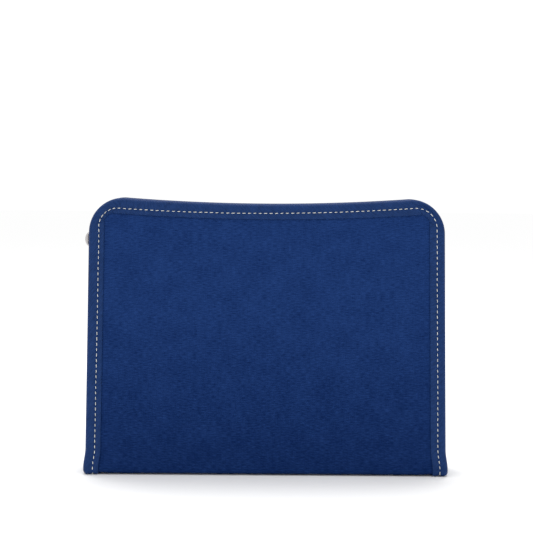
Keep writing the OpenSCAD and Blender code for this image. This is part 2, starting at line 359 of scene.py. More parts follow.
def waves(made, where, pitch, direction, wobble=0.0):
    """Bands that repeat at that pitch in metres."""
    return new_node(
        made, "TexWave",
        {"Vector": where, "Scale": math.pi / 10 / pitch, "Distortion": wobble,
         "Detail": 1.0, "Detail Scale": 1.0},
        wave_type="BANDS", bands_direction=direction,
    ).outputs["Fac"]


def join(made, operation, first, second):
    return new_node(made, "Math", {0: first, 1: second}, operation=operation).outputs[0]


def woven(name, colour, thread, turn=0.0, spread=0.12, mottle=0.018, depth=0.05 * MM,
          slub=(4 * MM, 0.8 * MM), painted_glint=0.0, painted_shade=None, **sockets):
    """Cloth in a plain weave of that thread spacing, turned on the piece's own cloth
    coordinates. The weft shows as thicker and thinner ribs of slub's length and width, over soft
    mottling of that size. Painted shade can darken the colour towards the bottom of the cover and
    pale it a little near the top, up to a height and with a strength given as a pair of numbers."""
    made, shader = new_material(name, colour, **sockets)
    flat = new_node(made, "TexCoord").outputs["UV"]
    cloth = new_node(made, "Mapping", {"Vector": flat, "Rotation": (0, 0, turn)}).outputs[0]
    warp = waves(made, cloth, 2 * thread, "X")
    weft = waves(made, cloth, 2 * thread, "Y")
    over = join(made, "MULTIPLY", join(made, "SUBTRACT", warp, 0.5), join(made, "SUBTRACT", weft, 0.5))
    ribs = new_node(made, "Mapping", {"Vector": cloth, "Scale": (1 / slub[0], 1 / slub[1], 1)})
    rib = new_node(made, "TexNoise", {"Vector": ribs.outputs[0], "Scale": 1.0, "Detail": 1.0})
    ends = new_node(made, "Mapping", {"Vector": cloth, "Scale": (1 / slub[1], 0.4 / slub[0], 1)})
    end = new_node(made, "TexNoise", {"Vector": ends.outputs[0], "Scale": 1.0, "Detail": 1.0})
    cloud = new_node(made, "TexNoise", {"Vector": flat, "Scale": 1 / mottle, "Detail": 5.0,
                                        "Roughness": 0.6})
    threads = join(made, "ADD", join(made, "MULTIPLY", rib.outputs["Fac"], 0.8),
                   join(made, "MULTIPLY", end.outputs["Fac"], 0.2))
    patch = join(made, "ADD", join(made, "MULTIPLY", cloud.outputs["Fac"], 0.28),
                 join(made, "MULTIPLY", threads, 0.72))
    # Painted shade: the colour darkens towards the bottom of the cover and pales a little near the
    # top, standing in for how the light falls
    if painted_shade:
        height_up = new_node(made, "SeparateXYZ", {0: flat}).outputs[1]
        shade_paint_ramp = new_node(made, "MapRange", {"Value": height_up, "From Min": 0.0, "From Max": painted_shade[0],
                                            "To Min": -painted_shade[1], "To Max": painted_shade[1] / 4},
                         interpolation_type="SMOOTHSTEP")
        patch = join(made, "ADD", patch, shade_paint_ramp.outputs[0])
    tint(made, shader, colour, spread, join(made, "ADD", patch, join(made, "MULTIPLY", over, 0.35)),
         painted_glint)
    height = join(made, "ADD", join(made, "MULTIPLY", over, 2.0), threads)
    relief(made, shader, height, depth)
    return made


def metal(name, colour, roughness, grain):
    """Plated metal with fine handling marks."""
    made, shader = new_material(name, colour, Metallic=1.0)
    where = new_node(made, "TexCoord").outputs["Object"]
    wear = new_node(made, "TexNoise", {"Vector": where, "Scale": 0.4 / MM, "Detail": 4.0})
    marks = new_node(made, "TexNoise", {"Vector": where, "Scale": 2 / MM, "Detail": 3.0})
    rough = new_node(made, "MapRange", {"Value": wear.outputs["Fac"], "To Min": roughness * 0.7,
                                        "To Max": roughness * 1.4})
    made.node_tree.links.new(rough.outputs[0], shader.inputs["Roughness"])
    tint(made, shader, colour, 0.06, wear.outputs["Fac"])
    relief(made, shader, marks.outputs["Fac"], grain)
    return made


def moulded(name, colour, roughness):
    """Nylon, with the slight unevenness of a drawn filament."""
    made, shader = new_material(name, colour, Roughness=roughness, Specular_IOR_Level=0.35)
    where = new_node(made, "TexCoord").outputs["Object"]
    uneven = new_node(made, "TexNoise", {"Vector": where, "Scale": 0.5 / MM, "Detail": 2.0})
    tint(made, shader, colour, 0.15, uneven.outputs["Fac"])
    relief(made, shader, uneven.outputs["Fac"], 0.02 * MM)
    return made


def twisted(name, colour):
    """Sewing thread, with the twist of its plies as fine slanted bands."""
    made, shader = new_material(name, colour, Roughness=0.7, Specular_IOR_Level=0.3)
    where = new_node(made, "TexCoord").outputs["Object"]
    slant = new_node(made, "Mapping", {"Vector": where, "Rotation": (0.6, 0.7, 0.5)}).outputs[0]
    plies = waves(made, slant, 0.45 * MM, "X", 0.4)
    shade_of = new_node(made, "TexNoise", {"Vector": where, "Scale": 0.12 / MM, "Detail": 2.0})
    tint(made, shader, colour, 0.1, shade_of.outputs["Fac"])
    relief(made, shader, plies, 0.05 * MM)
    return made


def greyboard(name, colour):
    """Pressed board with flecks of fibre."""
    made, shader = new_material(name, colour, Roughness=0.9, Specular_IOR_Level=0.1)
    where = new_node(made, "TexCoord").outputs["Object"]
    fibre = new_node(made, "TexNoise", {"Vector": where, "Scale": 0.9 / MM, "Detail": 6.0})
    tint(made, shader, colour, 0.22, fibre.outputs["Fac"])
    relief(made, shader, fibre.outputs["Fac"], 0.05 * MM)
    return made


FINISHES = {}


def finish_of(name):
    """The named finish, made once."""
    if name not in FINISHES:
        colours = bpy.context.scene.organizer_colours
        canvas, tape = tuple(colours.canvas), tuple(colours.tape)
        lining, pocket = tuple(colours.lining), tuple(colours.pocket)
        makers = {
            "coated_canvas": lambda: woven(
                # Painted highlight on the raised threads, and painted shade darkening the canvas
                # towards the bottom
                "coated_canvas", canvas, 0.5 * MM, spread=0.36, mottle=16 * MM, depth=0.08 * MM,
                slub=(3.2 * MM, 0.6 * MM), painted_glint=0.008, painted_shade=(0.13, 0.1),
                Roughness=0.6, Specular_IOR_Level=0.05),
            "bias_binding": lambda: woven(
                "bias_binding", tuple(colours.binding), 0.45 * MM, turn=math.pi / 4, spread=0.3,
                # Painted highlight on the raised threads of the binding
                mottle=7 * MM, depth=0.09 * MM, painted_glint=0.004,
                Roughness=0.5, Specular_IOR_Level=0.13),
            "lining_weave": lambda: woven(
                "lining_weave", lining, 0.3 * MM, spread=0.1, mottle=30 * MM,
                Roughness=0.5, Specular_IOR_Level=0.4),
            "pocket_weave": lambda: woven(
                "pocket_weave", pocket, 0.35 * MM, spread=0.1, mottle=25 * MM,
                Roughness=0.55, Specular_IOR_Level=0.35),
            "zip_tape_weave": lambda: woven(
                "zip_tape_weave", tape, 0.35 * MM, turn=math.pi / 4, depth=0.08 * MM,
                Roughness=0.75, Specular_IOR_Level=0.2),
            "loop_elastic": lambda: woven(
                "loop_elastic", tuple(colours.elastic), 0.5 * MM, depth=0.15 * MM,
                Roughness=0.7, Specular_IOR_Level=0.2),
            "nylon_coil": lambda: moulded("nylon_coil", tuple(colours.coil), 0.4),
            "nickel_plate": lambda: metal("nickel_plate", tuple(colours.metal), 0.24, 0.006 * MM),
            "cream_thread": lambda: twisted("cream_thread", tuple(colours.thread)),
            "navy_thread": lambda: twisted("navy_thread", tuple(colours.seam_thread)),
            "stiffener_board": lambda: greyboard("stiffener_board", (0.4, 0.31, 0.2)),
        }
        FINISHES[name] = makers[name]()
    return FINISHES[name]


def colour_property(name, description, value):
    return FloatVectorProperty(name=name, description=description, default=value, size=3,
                               min=0, max=1, subtype="COLOR")


def length_property(name, description, value):
    return FloatProperty(name=name, description=description, default=value, min=0,
                         subtype="DISTANCE", unit="LENGTH", precision=5)


class OrganizerColours(bpy.types.PropertyGroup):
    canvas: colour_property("Canvas", "Coated canvas of the covers", (0.0032, 0.0254, 0.116))
    binding: colour_property("Binding", "Folded binding round the edges", (0.0046, 0.027, 0.112))
    thread: colour_property("Topstitch", "Contrast thread along the bindings", (0.74, 0.75, 0.69))
    seam_thread: colour_property("Seam thread", "Thread of the pockets", (0.04, 0.07, 0.16))
    lining: colour_property("Lining", "Lining fabric", (0.018, 0.03, 0.07))
    pocket: colour_property("Pockets", "Fabric of the pockets", (0.026, 0.045, 0.1))
    tape: colour_property("Zip tape", "Woven tape of the zips", (0.008, 0.022, 0.075))
    coil: colour_property("Zip coil", "Nylon coil of the zips", (0.012, 0.035, 0.11))
    elastic: colour_property("Elastic", "Pen loop", (0.012, 0.015, 0.03))
    metal: colour_property("Slider", "Plated metal of the sliders", (0.5, 0.48, 0.48))


class OrganizerSizes(bpy.types.PropertyGroup):
    stitch_pitch: length_property("Stitch pitch", "From one topstitch to the next", 3.5 * MM)
    stitch_length: length_property("Stitch length", "Length of one topstitch", 2.1 * MM)
    thread_width: length_property("Thread width", "Width of the topstitch thread", 0.44 * MM)
    coil_pitch: length_property("Coil pitch", "From one turn of the coil to the next", 1.5 * MM)
    panel_fullness: length_property("Fullness", "How far the canvas stands out", 2 * MM)


# Covers
def canvas_point(u, v):
    """The canvas from the middle of the spine's underside to the top of the front cover."""
    reach = 2 * u - 1
    top = top_height(reach * (TOP_HALF - CLOTH_IN), CLOTH_IN)
    up = mix(MIDDLE, top, v)
    x = reach * (half_width(up) - FLARE * (1 - smooth(up / (12 * MM))) - CLOTH_IN)
    from_side = half_width(up) - abs(x) - BINDING
    from_top = top_height(x, BINDING) - up
    inner = min(from_side, from_top)
    free = smooth((inner + 1.5 * MM) / (9 * MM))
    on_cover = smooth((up - TANGENT) / (25 * MM))
    fullness = bpy.context.scene.organizer_sizes.panel_fullness
    waviness = 0.28 * MM * ripple(x, up, 34 * MM) + 0.1 * MM * ripple(x, up, 12 * MM, 3)
    out = -0.15 * MM + free * (0.25 * MM + fullness * on_cover * smooth(inner / (60 * MM)))
    out += on_cover * free * waviness
    if up < BEND_START:
        under_spine = smooth((BEND_START - up) / (6 * MM))
        out += 0.75 * MM * under_spine * smooth(from_side / (8 * MM))
    return wrap(x, up, out), (x, up)


def lining_point(u, v):
    """The lining from the top of the spine to the top of the front cover."""
    reach = 2 * u - 1
    top = top_height(reach * (TOP_HALF - CLOTH_IN), CLOTH_IN)
    up = mix(MIDDLE, top, v)
    x = reach * (half_width(up) - FLARE - CLOTH_IN)
    out = -LINING_DEPTH + 0.08 * MM * ripple(x, up, 20 * MM, 5)
    return wrap(x, up, out), (x, up)


class ORGANIZER_OT_canvas(bpy.types.Operator):
    """Lay the outer canvas and the lining, which bend round the folds"""

    bl_idname = "organizer.make_canvas"
    bl_label = "Canvas and lining"

    def execute(self, context):
        hidden = {"front": [], "back": ["base_shell"]}
        lined = {"front": [], "back": ["base_lining"]}
        for body, side in SIDES.items():
            outer = lay_cloth(f"{body}_canvas", 150, 130, canvas_point, THICK / 3, side < 0)
            finish_piece(outer, finish_of("coated_canvas"), fold_blend(side), "canvas",
                         f"{body}_shell", *hidden[body])
            inner = lay_cloth(f"{body}_lining_cloth", 90, 90, lining_point, LINING, side < 0)
            finish_piece(inner, finish_of("lining_weave"), fold_blend(side), "lining_cloth",
                         f"{body}_lining", *lined[body])
        for name in ("base_board", "front_board", "back_board"):
            board = frame["nodes"][name]
            board.data.materials.clear()
            board.data.materials.append(finish_of("stiffener_board"))
        return {"FINISHED"}


# Half the section of the binding, from its inner edge over the crest to the edge of the cover,
# as inset and height in millimetres
LIP_SECTION = [
    (9.5, -0.12), (10.05, 0.3), (10.0, 0.65), (9.3, 0.87), (8.2, 0.87), (7.2, 0.76), (6.5, 0.52),
    (6.0, 0.42), (5.5, 0.54), (4.8, 0.78), (3.8, 0.92), (2.8, 0.95), (1.9, 0.82), (1.1, 0.45),
    (0.5, -0.15), (0.13, -0.9), (0.0, -1.7),
]
WALL_SECTION = [(0.9, -1.7), (1.1, -0.4), (2.0, -0.1), (9.6, -0.1)]
# Where small pleats take up the strip's inner edge round a corner, as values of path
PLEATS = (1.16, 1.3, 1.49, 1.68, 1.88)


def binding_section():
    """The closed section of the folded binding, outside first, then back inside the fold."""
    back = [(inset, -THICK / MM - out) for inset, out in LIP_SECTION[-2::-1]]
    wall = [(inset, -THICK / MM - out) for inset, out in WALL_SECTION[:0:-1]]
    return LIP_SECTION + back + wall + WALL_SECTION + [LIP_SECTION[0]]


def stitch_drift(path):
    """How far the seam wanders inwards: a hand-guided line, widest at the top left corner."""
    left = 0.3 * MM + 0.5 * MM * smooth(path / 1.2)
    top = mix(1.0 * MM, -0.2 * MM, smooth((path - 1.6) / 1.4))
    right = -0.6 * MM
    start = mix(left, top, smooth((path - 1.1) / 0.6))
    return mix(start, right, smooth((path - 2.9) / 1.0))


def pucker(path, inset, stitch):
    """How far the binding sinks at its stitch holes, at the pleats and in the fold that gathers it
    round the right corner."""
    near_seam = bell(inset - STITCH_IN - stitch_drift(path), 1.1 * MM)
    hole = 0.5 + 0.5 * math.cos(2 * math.pi * (stitch - 0.5))
    sunk = 0.34 * MM * near_seam * (1 - hole) ** 2
    right_corner = smooth((path - 2.85) / 0.3) * smooth((4.15 - path) / 0.3)
    sunk += 0.9 * MM * right_corner * bell(inset - 3.7 * MM, 0.9 * MM)
    turned = path if path < 2.5 else 5 - path
    for pleat in PLEATS:
        sunk += 0.75 * MM * bell(turned - pleat, 0.05) * smooth((inset - 5 * MM) / (4 * MM))
    return sunk


class ORGANIZER_OT_binding(bpy.types.Operator):
    """Sweep the folded binding round the edges of both covers and the ends of the spine"""

    bl_idname = "organizer.make_binding"
    bl_label = "Binding"

    def execute(self, context):
        pitch = context.scene.organizer_sizes.stitch_pitch
        steps = 5
        section = binding_section()
        stops, _ = paces(STITCH_IN, MIDDLE, pitch / steps)
        stops[0] = 0.0
        stops.append(5.0)
        columns, rows = len(stops) - 1, len(section) - 1
        across = [0.0]
        for start, end in zip(section, section[1:]):
            across.append(across[-1] + math.dist(start, end) * MM)

        def place(u, v):
            column, row = round(u * columns), round(v * rows) % rows
            path, (inset, out) = stops[column], section[row]
            inset, out = inset * MM, out * MM
            inset += stitch_drift(path) * (1 - smooth(abs(inset - STITCH_IN) / (4 * MM)))
            x, up = edge(path, inset, MIDDLE)
            sunk = pucker(path, inset, column / steps)
            loose = 0.1 * MM * ripple(x, up, 9 * MM, 7) + 0.07 * MM * ripple(x, up, 4 * MM, 9)
            if row < len(LIP_SECTION):
                out += loose - sunk
            elif row < 2 * len(LIP_SECTION) - 1:
                out += sunk - loose
            return wrap(x, up, out), (column * pitch / steps, across[round(v * rows)])

        replaced = {
            "front": ["front_binding", "spine_binding_left"],
            "back": ["back_binding", "spine_binding_right"],
        }
        for body, side in SIDES.items():
            tape = lay_cloth(f"{body}_edge_binding", columns, rows, place, 0, side < 0, True)
            select(tape)
            edit_all()
            bpy.ops.mesh.fill_holes(sides=0)
            bpy.ops.object.mode_set(mode="OBJECT")
            shade(tape, 55)
            finish_piece(tape, finish_of("bias_binding"), fold_blend(side), "binding_cloth",
                         *replaced[body])
        return {"FINISHED"}


def repeat(name, template, places):
    """One mesh of a copy of the template at each place."""
    points = [vertex.co for vertex in template.data.vertices]
    faces = [tuple(face.vertices) for face in template.data.polygons]
    data = bpy.data.meshes.new(name)
    data.from_pydata(
        [place @ point for place in places for point in points], [],
        [tuple(corner + i * len(points) for corner in face)
         for i in range(len(places)) for face in faces])
    piece = bpy.data.objects.new(name, data)
    bpy.context.collection.objects.link(piece)
    shade(piece, 60)
    return piece


def scrap(*objects):
    for piece in objects:
        bpy.data.objects.remove(piece)


def bead(length, width, height, segments=8, rings=6):
    """A rounded bead that lies along X, as the start of a stitch or a turn of the coil."""
    deselect()
    bpy.ops.mesh.primitive_uv_sphere_add(segments=segments, ring_count=rings, radius=0.5,
                                         rotation=(0, math.pi / 2, 0))
    bpy.ops.object.transform_apply(location=False, rotation=True, scale=False)
    piece = active()
    for vertex in piece.data.vertices:
        blunt = math.copysign(abs(2 * vertex.co.x) ** 0.75 / 2, vertex.co.x)
        vertex.co = Vector((blunt * length, vertex.co.y * width, vertex.co.z * height))
    return piece


def placed(here, x_axis, y_axis, z_axis):
    """A frame at that point with those axes."""
    return Matrix.Translation(here) @ Matrix((x_axis, y_axis, z_axis)).transposed().to_4x4()


def mirrored_place(place, side):
    if side > 0:
        return place
    mirror = Matrix.Scale(-1, 4, (0, 1, 0))
    return mirror @ place @ mirror


def seam_places(point_at, stops, turn=0.0):
    """Frames along a seam: X along it and Z out of the cloth. point_at(stop) gives a point and
    the way out of the cloth."""
    made = []
    for stop in stops:
        here, out = point_at(stop)
        ahead, _ = point_at(stop + 0.0005)
        behind, _ = point_at(stop - 0.0005)
        along = (ahead - behind).normalized()
        across = out.cross(along).normalized()
        made.append(placed(here, along, across, along.cross(across))
                    @ Matrix.Rotation(turn, 4, "Z"))
    return made


class ORGANIZER_OT_topstitching(bpy.types.Operator):
    """Sew the topstitching along both faces of the bindings"""

    bl_idname = "organizer.make_topstitching"
    bl_label = "Topstitching"

    def execute(self, context):
        sizes = context.scene.organizer_sizes
        pitch = sizes.stitch_pitch
        stitch = bead(sizes.stitch_length, sizes.thread_width, sizes.thread_width * 0.9)
        stops, _ = paces(STITCH_IN, MIDDLE, pitch, 0.5)

        def on_face(out, sign):
            def point_at(path):
                x, up = edge(path, STITCH_IN, MIDDLE)
                wander = 0.12 * MM * ripple(x, up, 15 * MM, 11)
                x, up = edge(path, STITCH_IN + stitch_drift(path) + wander, MIDDLE)
                point = wrap(x, up, out)
                lifted = wrap(x, up, out + sign * 0.2 * MM)
                return point, (lifted - point).normalized()
            return point_at

        faces = {"": (0.72 * MM, 1), "inner_": (-THICK - 0.66 * MM, -1)}
        for body, side in SIDES.items():
            for face, (out, sign) in faces.items():
                places = seam_places(on_face(out, sign), stops, 0.06)
                # No two stitches are quite alike in slant and length
                uneven = [place @ Matrix.Rotation(0.16 * ripple(i, 0, 1.7), 4, "Z")
                          @ Matrix.Scale(1 + 0.3 * ripple(i, 5, 2.3), 4, (1, 0, 0))
                          for i, place in enumerate(places)]
                seam = repeat(f"{body}_{face}topstitches", stitch,
                              [mirrored_place(place, side) for place in uneven])
                finish_piece(seam, finish_of("cream_thread"), fold_blend(side), "binding_cloth")
        scrap(stitch)
        return {"FINISHED"}


# Hard parts, modelled from primitives
def box_map(piece):
    """Cloth coordinates in metres for a piece without any, from its own faces."""
    layer = piece.data.uv_layers.get("UVMap") or piece.data.uv_layers.new(name="UVMap")
    for face in piece.data.polygons:
        normal = [abs(part) for part in face.normal]
        drop = normal.index(max(normal))
        kept = [axis for axis in range(3) if axis != drop]
        for corner in face.loop_indices:
            place = piece.data.vertices[piece.data.loops[corner].vertex_index].co
            layer.data[corner].uv = (place[kept[0]], place[kept[1]])


def soft_slab(name, low, high, rim, segments=3):
    """A block with rounded rims between two corners."""
    deselect()
    bpy.ops.mesh.primitive_cube_add(size=1, location=(Vector(low) + Vector(high)) / 2)
    piece = active()
    piece.name = name
    piece.scale = Vector(high) - Vector(low)
    bpy.ops.object.transform_apply(location=True, rotation=False, scale=True)
    edit_all()
    bpy.ops.mesh.bevel(offset=rim, segments=segments, affect="EDGES")
    bpy.ops.object.mode_set(mode="OBJECT")
    box_map(piece)
    shade(piece)
    return piece


def weld(name, *parts):
    select(*parts)
    bpy.ops.object.join()
    made = active()
    made.name = name
    return made


def rounded(points, radius, steps=6):
    """A closed outline with its corners rounded."""
    made = []
    for i, here in enumerate(points):
        here = Vector(here)
        before = (Vector(points[i - 1]) - here).normalized()
        after = (Vector(points[(i + 1) % len(points)]) - here).normalized()
        half = before.angle(after) / 2
        back = radius / math.tan(half)
        start, end = here + before * back, here + after * back
        for step in range(steps + 1):
            t = step / steps
            made.append(mix(mix(start, here, t), mix(here, end, t), t))
    return made


def mesh_of(name, curve):
    """A mesh piece from a curve's solid."""
    piece = bpy.data.objects.new(name, curve)
    bpy.context.collection.objects.link(piece)
    select(piece)
    bpy.ops.object.convert(target="MESH")
    return active()


def face_outwards(piece, threshold=0.0):
    """Turn the faces outwards, after merging points closer than the threshold."""
    edit_all()
    if threshold:
        bpy.ops.mesh.remove_doubles(threshold=threshold)
    bpy.ops.mesh.normals_make_consistent(inside=False)
    bpy.ops.object.mode_set(mode="OBJECT")
    shade(piece)
    return piece


def plate(name, outlines, thick, rim=0.0):
    """A flat plate with rounded rims, in the XY plane. Outlines after the first are holes."""
    data = bpy.data.curves.new(name, "CURVE")
    data.dimensions = "2D"
    data.fill_mode = "BOTH"
    data.extrude = thick / 2 - rim
    data.bevel_depth = rim
    data.bevel_resolution = 2
    data.offset = -rim
    for outline in outlines:
        spline = data.splines.new("POLY")
        spline.points.add(len(outline) - 1)
        for point, corner in zip(spline.points, outline):
            point.co = (*corner, 0, 1)
        spline.use_cyclic_u = True
    return face_outwards(mesh_of(name, data), 1e-6)


def rod(name, points, radius, flat=1.0, sides=3):
    """A rod bent along those points, widened along Y by flat."""
    data = bpy.data.curves.new(name, "CURVE")
    data.dimensions = "3D"
    data.bevel_depth = radius
    data.bevel_resolution = sides
    data.use_fill_caps = True
    spline = data.splines.new("POLY")
    spline.points.add(len(points) - 1)
    for point, corner in zip(spline.points, points):
        point.co = (*corner, 1)
    piece = mesh_of(name, data)
    for vertex in piece.data.vertices:
        vertex.co.y *= flat
    return face_outwards(piece)


def rectangle(half, low, high):
    return [(-half, low), (half, low), (half, high), (-half, high)]


def circle(radius, across, along, steps=24):
    return [(across + radius * math.cos(2 * math.pi * i / steps),
             along + radius * math.sin(2 * math.pi * i / steps)) for i in range(steps)]


# Main zip
def height_at_middle(up, from_middle):
    """How far behind the front face, and how high, a point of a cover lies at that distance from
    the middle plane."""
    depth = (-FOLD_Y - from_middle - up * math.sin(LEAN)) / math.cos(LEAN)
    return depth, FOLD_Z + up * math.cos(LEAN) - depth * math.sin(LEAN)


def parting(x, up):
    """Half the gap between the rows: open on the left side below the slider."""
    _, z = height_at_middle(up, ROW)
    below = (SLIDER_Z + SLIDER_ROOM - z) / (2 * SLIDER_ROOM)
    return PARTING * min(max(below, 0), 1) if x < -TOP_HALF / 2 else 0.0


def zip_point(path, inset, from_middle):
    """A point of the zip, that far from the middle plane when it is closed."""
    x, up = edge(path, inset, TAPE_START)
    depth, _ = height_at_middle(up, from_middle + parting(x, up))
    return cover_point(x, up, -depth)


class ORGANIZER_OT_zip(bpy.types.Operator):
    """Weave the zip tapes and wind the two rows of the coil"""

    bl_idname = "organizer.make_zip"
    bl_label = "Zip"

    def execute(self, context):
        pitch = context.scene.organizer_sizes.coil_pitch
        stops, length = paces(TAPE_IN, TAPE_START, 1.5 * MM)
        stops.append(5.0)
        columns, rows = len(stops) - 1, 10

        def tape_point(u, v):
            path = stops[round(u * columns)]
            x, up = edge(path, TAPE_IN, TAPE_START)
            inner, _ = height_at_middle(up, 0.06 * MM + parting(x, up))
            depth = mix(THICK + 0.4 * MM, inner, v)
            bow = 0.5 * MM * math.sin(math.pi * v)
            sag = 0.12 * MM * ripple(path * length, depth, 6 * MM)
            x, up = edge(path, TAPE_IN + bow + sag, TAPE_START)
            return cover_point(x, up, -depth), (path * length / 5, depth)

        turn_of_coil = bead(ROW + 0.3 * MM, 0.85 * MM, 1.45 * MM)
        # The end that meets the other row is the coil's wider head
        for vertex in turn_of_coil.data.vertices:
            if vertex.co.x > 0.8 * MM:
                vertex.co.y *= 1.25
        for body, side in SIDES.items():
            tape = lay_cloth(f"{body}_woven_tape", columns, rows, tape_point, TAPE, side < 0)
            finish_piece(tape, finish_of("zip_tape_weave"), body, "zip_tape", f"{body}_zip_tape")
            phase = 0.5 if side > 0 else 1.0
            turns, _ = paces(COIL_IN, TAPE_START, pitch, phase)
            places = []
            for path in turns:
                x, up = edge(path, COIL_IN, TAPE_START)
                _, z = height_at_middle(up, ROW)
                if side > 0 and x < 0 and abs(z - SLIDER_Z) < SLIDER_ROOM:
                    continue
                here = zip_point(path, COIL_IN, ROW / 2)
                out = (zip_point(path, COIL_IN - 1 * MM, ROW / 2) - here).normalized()
                across = Vector((0, 1, 0))
                along = out.cross(across).normalized()
                places.append(placed(here, across, along, out) @ Matrix.Rotation(0.12, 4, "Z"))
            coil = repeat(f"{body}_coil_turns", turn_of_coil,
                          [mirrored_place(place, side) for place in places])
            finish_piece(coil, finish_of("nylon_coil"), body, "zip_coil", f"{body}_zip_coil")
        scrap(turn_of_coil)
        for end, side in (("left", -1), ("right", 1)):
            low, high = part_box(f"zip_end_tab_{end}")
            tab = soft_slab(f"zip_end_tab_{end}_cloth", low, high, 0.25 * MM)
            tab.data.transform(Matrix.Translation((0, 0, 0.75 * MM)))
            finish_piece(tab, finish_of("zip_tape_weave"), "spine", "zip_tape",
                         f"zip_end_tab_{end}")
        return {"FINISHED"}


# Main slider
# Turns a flat plate's x, y and z into across the zip, along it and inwards from the edge
STAND = Matrix(((0, 0, 1), (1, 0, 0), (0, 1, 0))).to_4x4()

# Turns a flat plate's x, y and z into inwards, along the zip and across
EDGEWISE = Matrix(((1, 0, 0), (0, 0, -1), (0, 1, 0))).to_4x4()


def slider_place():
    """Frame on the edge of the bindings at the slider: X inwards, Z along the zip."""
    axis = Vector(JOINTS["zip_slider_travel"]["axis"])
    turn = Matrix.Rotation(math.atan2(axis.x, axis.z), 4, "Y")
    pivot = Vector(JOINTS["puller_swing"]["pos_m"])
    return Matrix.Translation(pivot) @ turn @ Matrix.Translation((-0.6 * MM, 0, 1 * MM))


def slider_outline():
    """A slider's plate: wide where the rows part, narrower where they close."""
    wide, narrow, half = 4.5 * MM, 3.3 * MM, 5.5 * MM
    points = [(-wide, -3.2 * MM), (-3.2 * MM, -half), (3.2 * MM, -half), (wide, -3.2 * MM),
              (wide, 1.5 * MM), (narrow, half), (-narrow, half), (-wide, 1.5 * MM)]
    return rounded(points, 1.1 * MM)


class ORGANIZER_OT_slider(bpy.types.Operator):
    """Cast the zip slider, with its crown, lock and puller"""

    bl_idname = "organizer.make_slider"
    bl_label = "Slider"

    def execute(self, context):
        at = slider_place()
        nickel = finish_of("nickel_plate")
        top = plate("top", [slider_outline()], 0.9 * MM, 0.3 * MM)
        top.data.transform(Matrix.Translation((2.4 * MM, 0, 0)) @ STAND)
        under = plate("under", [slider_outline()], 0.9 * MM, 0.3 * MM)
        under.data.transform(Matrix.Translation((5.7 * MM, 0, 0)) @ STAND)
        divider = plate("divider", [rounded([(-0.9 * MM, -5 * MM), (0.9 * MM, -5 * MM),
                                             (0.25 * MM, -1 * MM), (-0.25 * MM, -1 * MM)],
                                            0.15 * MM)], 3 * MM, 0.1 * MM)
        divider.data.transform(Matrix.Translation((4.1 * MM, 0, 0)) @ STAND)
        flanges = [soft_slab("flange", (2.6 * MM, side * 4.25 * MM - 0.3 * MM, -3.2 * MM),
                             (4.2 * MM, side * 4.25 * MM + 0.3 * MM, 1.6 * MM), 0.2 * MM)
                   for side in (-1, 1)]
        body = weld("slider_casting", top, under, divider, *flanges)
        body.data.transform(at)
        finish_piece(body, nickel, "slider", "slider_metal", "slider_body")

        bridge = [(1.9 * MM, -5.2 * MM)]
        for i in range(1, 24):
            turn = math.pi * (i / 24 - 0.5)
            bridge.append((1.4 * MM - 4.7 * MM * math.cos(turn) ** 0.8, 5.2 * MM * math.sin(turn)))
        bridge.append((1.9 * MM, 5.2 * MM))
        opening = rounded([(-1.05 * MM, -2.9 * MM), (1.6 * MM, -4 * MM), (1.6 * MM, 4 * MM),
                           (-1.05 * MM, 2.9 * MM)], 0.7 * MM)
        crown = plate("slider_bridge", [bridge, opening], 2.2 * MM, 0.5 * MM)
        crown.data.transform(EDGEWISE)
        crown.data.transform(at)
        finish_piece(crown, nickel, "slider", "slider_metal", "slider_crown")

        pawl = soft_slab("lock_pin", (1.1 * MM, -0.45 * MM, 2.4 * MM),
                         (1.9 * MM, 0.45 * MM, 3.8 * MM), 0.15 * MM)
        pawl.data.transform(at)
        finish_piece(pawl, nickel, "slider", "slider_metal", "slider_lock_pawl")

        half, tip = 2.8 * MM, -24 * MM
        shape = [(-half, 0.7 * MM), (-half, tip + half)]
        shape += [(half * math.cos(turn), tip + half + half * math.sin(turn))
                  for turn in (math.pi * (1 + i / 16) for i in range(1, 16))]
        shape += [(half, tip + half), (half, 0.7 * MM)]
        window = rounded(rectangle(half - 1.3 * MM, -7.2 * MM, -0.65 * MM), 0.8 * MM)
        blade = plate("blade", [shape, window, circle(1.1 * MM, 0, tip + half)], 1.1 * MM, 0.22 * MM)
        blade.data.transform(STAND)
        pin = rod("pin", [(0, -2.75 * MM, 0), (0, 2.75 * MM, 0)], 0.66 * MM)
        rib = soft_slab("rib", (-0.75 * MM, -1.2 * MM, -17.5 * MM), (0.75 * MM, 1.2 * MM, -9.5 * MM),
                        0.2 * MM)
        puller = weld("zip_pull", blade, pin, rib)
        puller.data.transform(at @ Matrix.Translation((0.6 * MM, 0, -1 * MM)))
        finish_piece(puller, nickel, "puller", "slider_metal", "puller")
        return {"FINISHED"}


# Inside
def pocket_piece(name, side, depth, left, right, low, high, seed, hem=6 * MM, open_top=True):
    """A pocket of doubled fabric that lies that deep behind the cover's outer face, with a folded
    hem along its mouth and a slight fullness."""
    def place(u, v):
        x, up = mix(left, right, u), mix(low, high, v)
        rim = min(x - left, right - x, up - low)
        full = smooth(rim / (12 * MM))
        out = -depth - full * (0.22 * MM * abs(ripple(x, up, 30 * MM, seed)) + 0.12 * MM)
        thick = 0.0
        from_mouth = high - up
        if open_top and from_mouth < hem:
            thick = 0.28 * MM * smooth((hem - from_mouth) / (0.5 * MM))
            thick -= 0.16 * MM * bell(from_mouth - hem + 1.2 * MM, 0.4 * MM)
        return cover_point(x, up, out - thick), (x, up)

    columns = max(round((right - left) / (2 * MM)), 8)
    rows = max(round((high - low) / (1 * MM)), 8)
    return lay_cloth(name, columns, rows, place, 0.4 * MM, side < 0)


